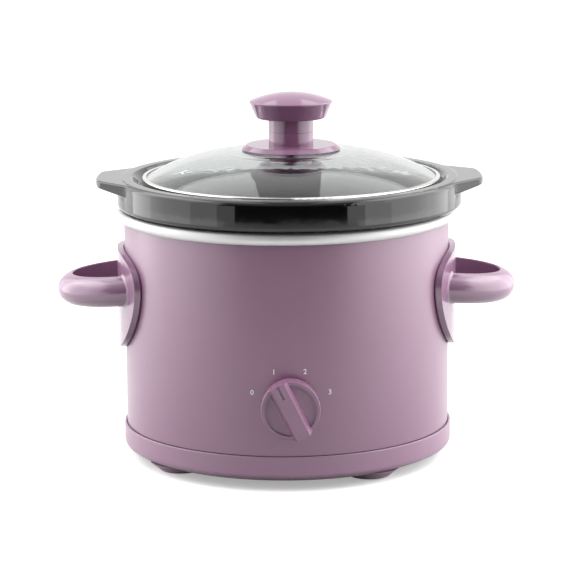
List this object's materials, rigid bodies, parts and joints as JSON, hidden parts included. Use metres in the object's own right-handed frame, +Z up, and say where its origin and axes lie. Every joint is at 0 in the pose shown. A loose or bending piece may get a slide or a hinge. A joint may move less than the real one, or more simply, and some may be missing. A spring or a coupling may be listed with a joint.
{
  "type": "slow cooker",
  "caption": "Small round slow cooker with painted steel casing, looped side handles, lift-out eared stoneware crock, glass lid with knob, and a front dial.",
  "frame": {"origin": "on the floor, on the axis of the casing, pot and crock", "axes": "+Z up; the dial faces -Y; the handles stand out along +X and -X"},
  "size_m": [0.2648, 0.207, 0.2102],
  "materials": {
    "painted_casing": "satin powder coat",
    "pot_steel": "spun, satin",
    "casing_plastic": "satin moulded",
    "foot_rubber": "matte",
    "handle_plastic": "gloss moulded",
    "fastener_steel": "zinc plated",
    "glass_fibre": "woven",
    "strap_steel": "rolled",
    "switch_plastic": "moulded",
    "gland_plastic": "moulded",
    "block_ceramic": "unglazed",
    "fuse_brass": "plain",
    "lead_silicone": "silicone sleeve",
    "dial_plastic": "satin moulded",
    "black_glaze": "gloss glaze",
    "lid_glass": "clear tempered",
    "rim_steel": "polished",
    "lid_knob_plastic": "gloss moulded",
    "seal_silicone": "silicone"
  },
  "bodies": {
    "root": {"outer_shell": "painted_casing", "heating_pot": "pot_steel", "base_tray": "casing_plastic", "foot_pads": "foot_rubber", "left_handle": "handle_plastic", "right_handle": "handle_plastic", "handle_screws": "fastener_steel", "heater_belt": "glass_fibre", "heater_strap": "strap_steel", "strap_bolt": "fastener_steel", "strap_nut": "fastener_steel", "pot_bracket": "strap_steel", "base_bolt": "fastener_steel", "base_washer": "fastener_steel", "rotary_switch": "switch_plastic", "switch_nut": "fastener_steel", "cord_gland": "gland_plastic", "terminal_block": "block_ceramic", "thermal_fuse": "fuse_brass", "fuse_clip": "strap_steel", "supply_lead": "lead_silicone", "low_lead": "lead_silicone", "high_lead": "lead_silicone", "fuse_lead": "lead_silicone", "return_lead": "lead_silicone"},
    "knob": {"control_knob": "dial_plastic", "switch_shaft": "fastener_steel"},
    "crock": {"crock": "black_glaze"},
    "lid": {"lid_glass": "lid_glass", "lid_rim": "rim_steel", "knob_base": "lid_knob_plastic", "lid_knob": "lid_knob_plastic", "upper_seal": "seal_silicone", "lower_seal": "seal_silicone", "lid_washer": "fastener_steel", "lid_screw": "fastener_steel"}
  },
  "joints": [
    {"name": "knob_turn", "type": "hinge", "parent": "root", "child": "knob", "pos_m": [0, -0.0935, 0.0478], "axis": [0, 1, 0], "range_deg": [-45, 90]},
    {"name": "crock_lift", "type": "slide", "parent": "root", "child": "crock", "axis": [0, 0, 1], "range_m": [0, 0.14]},
    {"name": "lid_lift", "type": "slide", "parent": "crock", "child": "lid", "axis": [0, 0, 1], "range_m": [0, 0.08]}
  ]
}
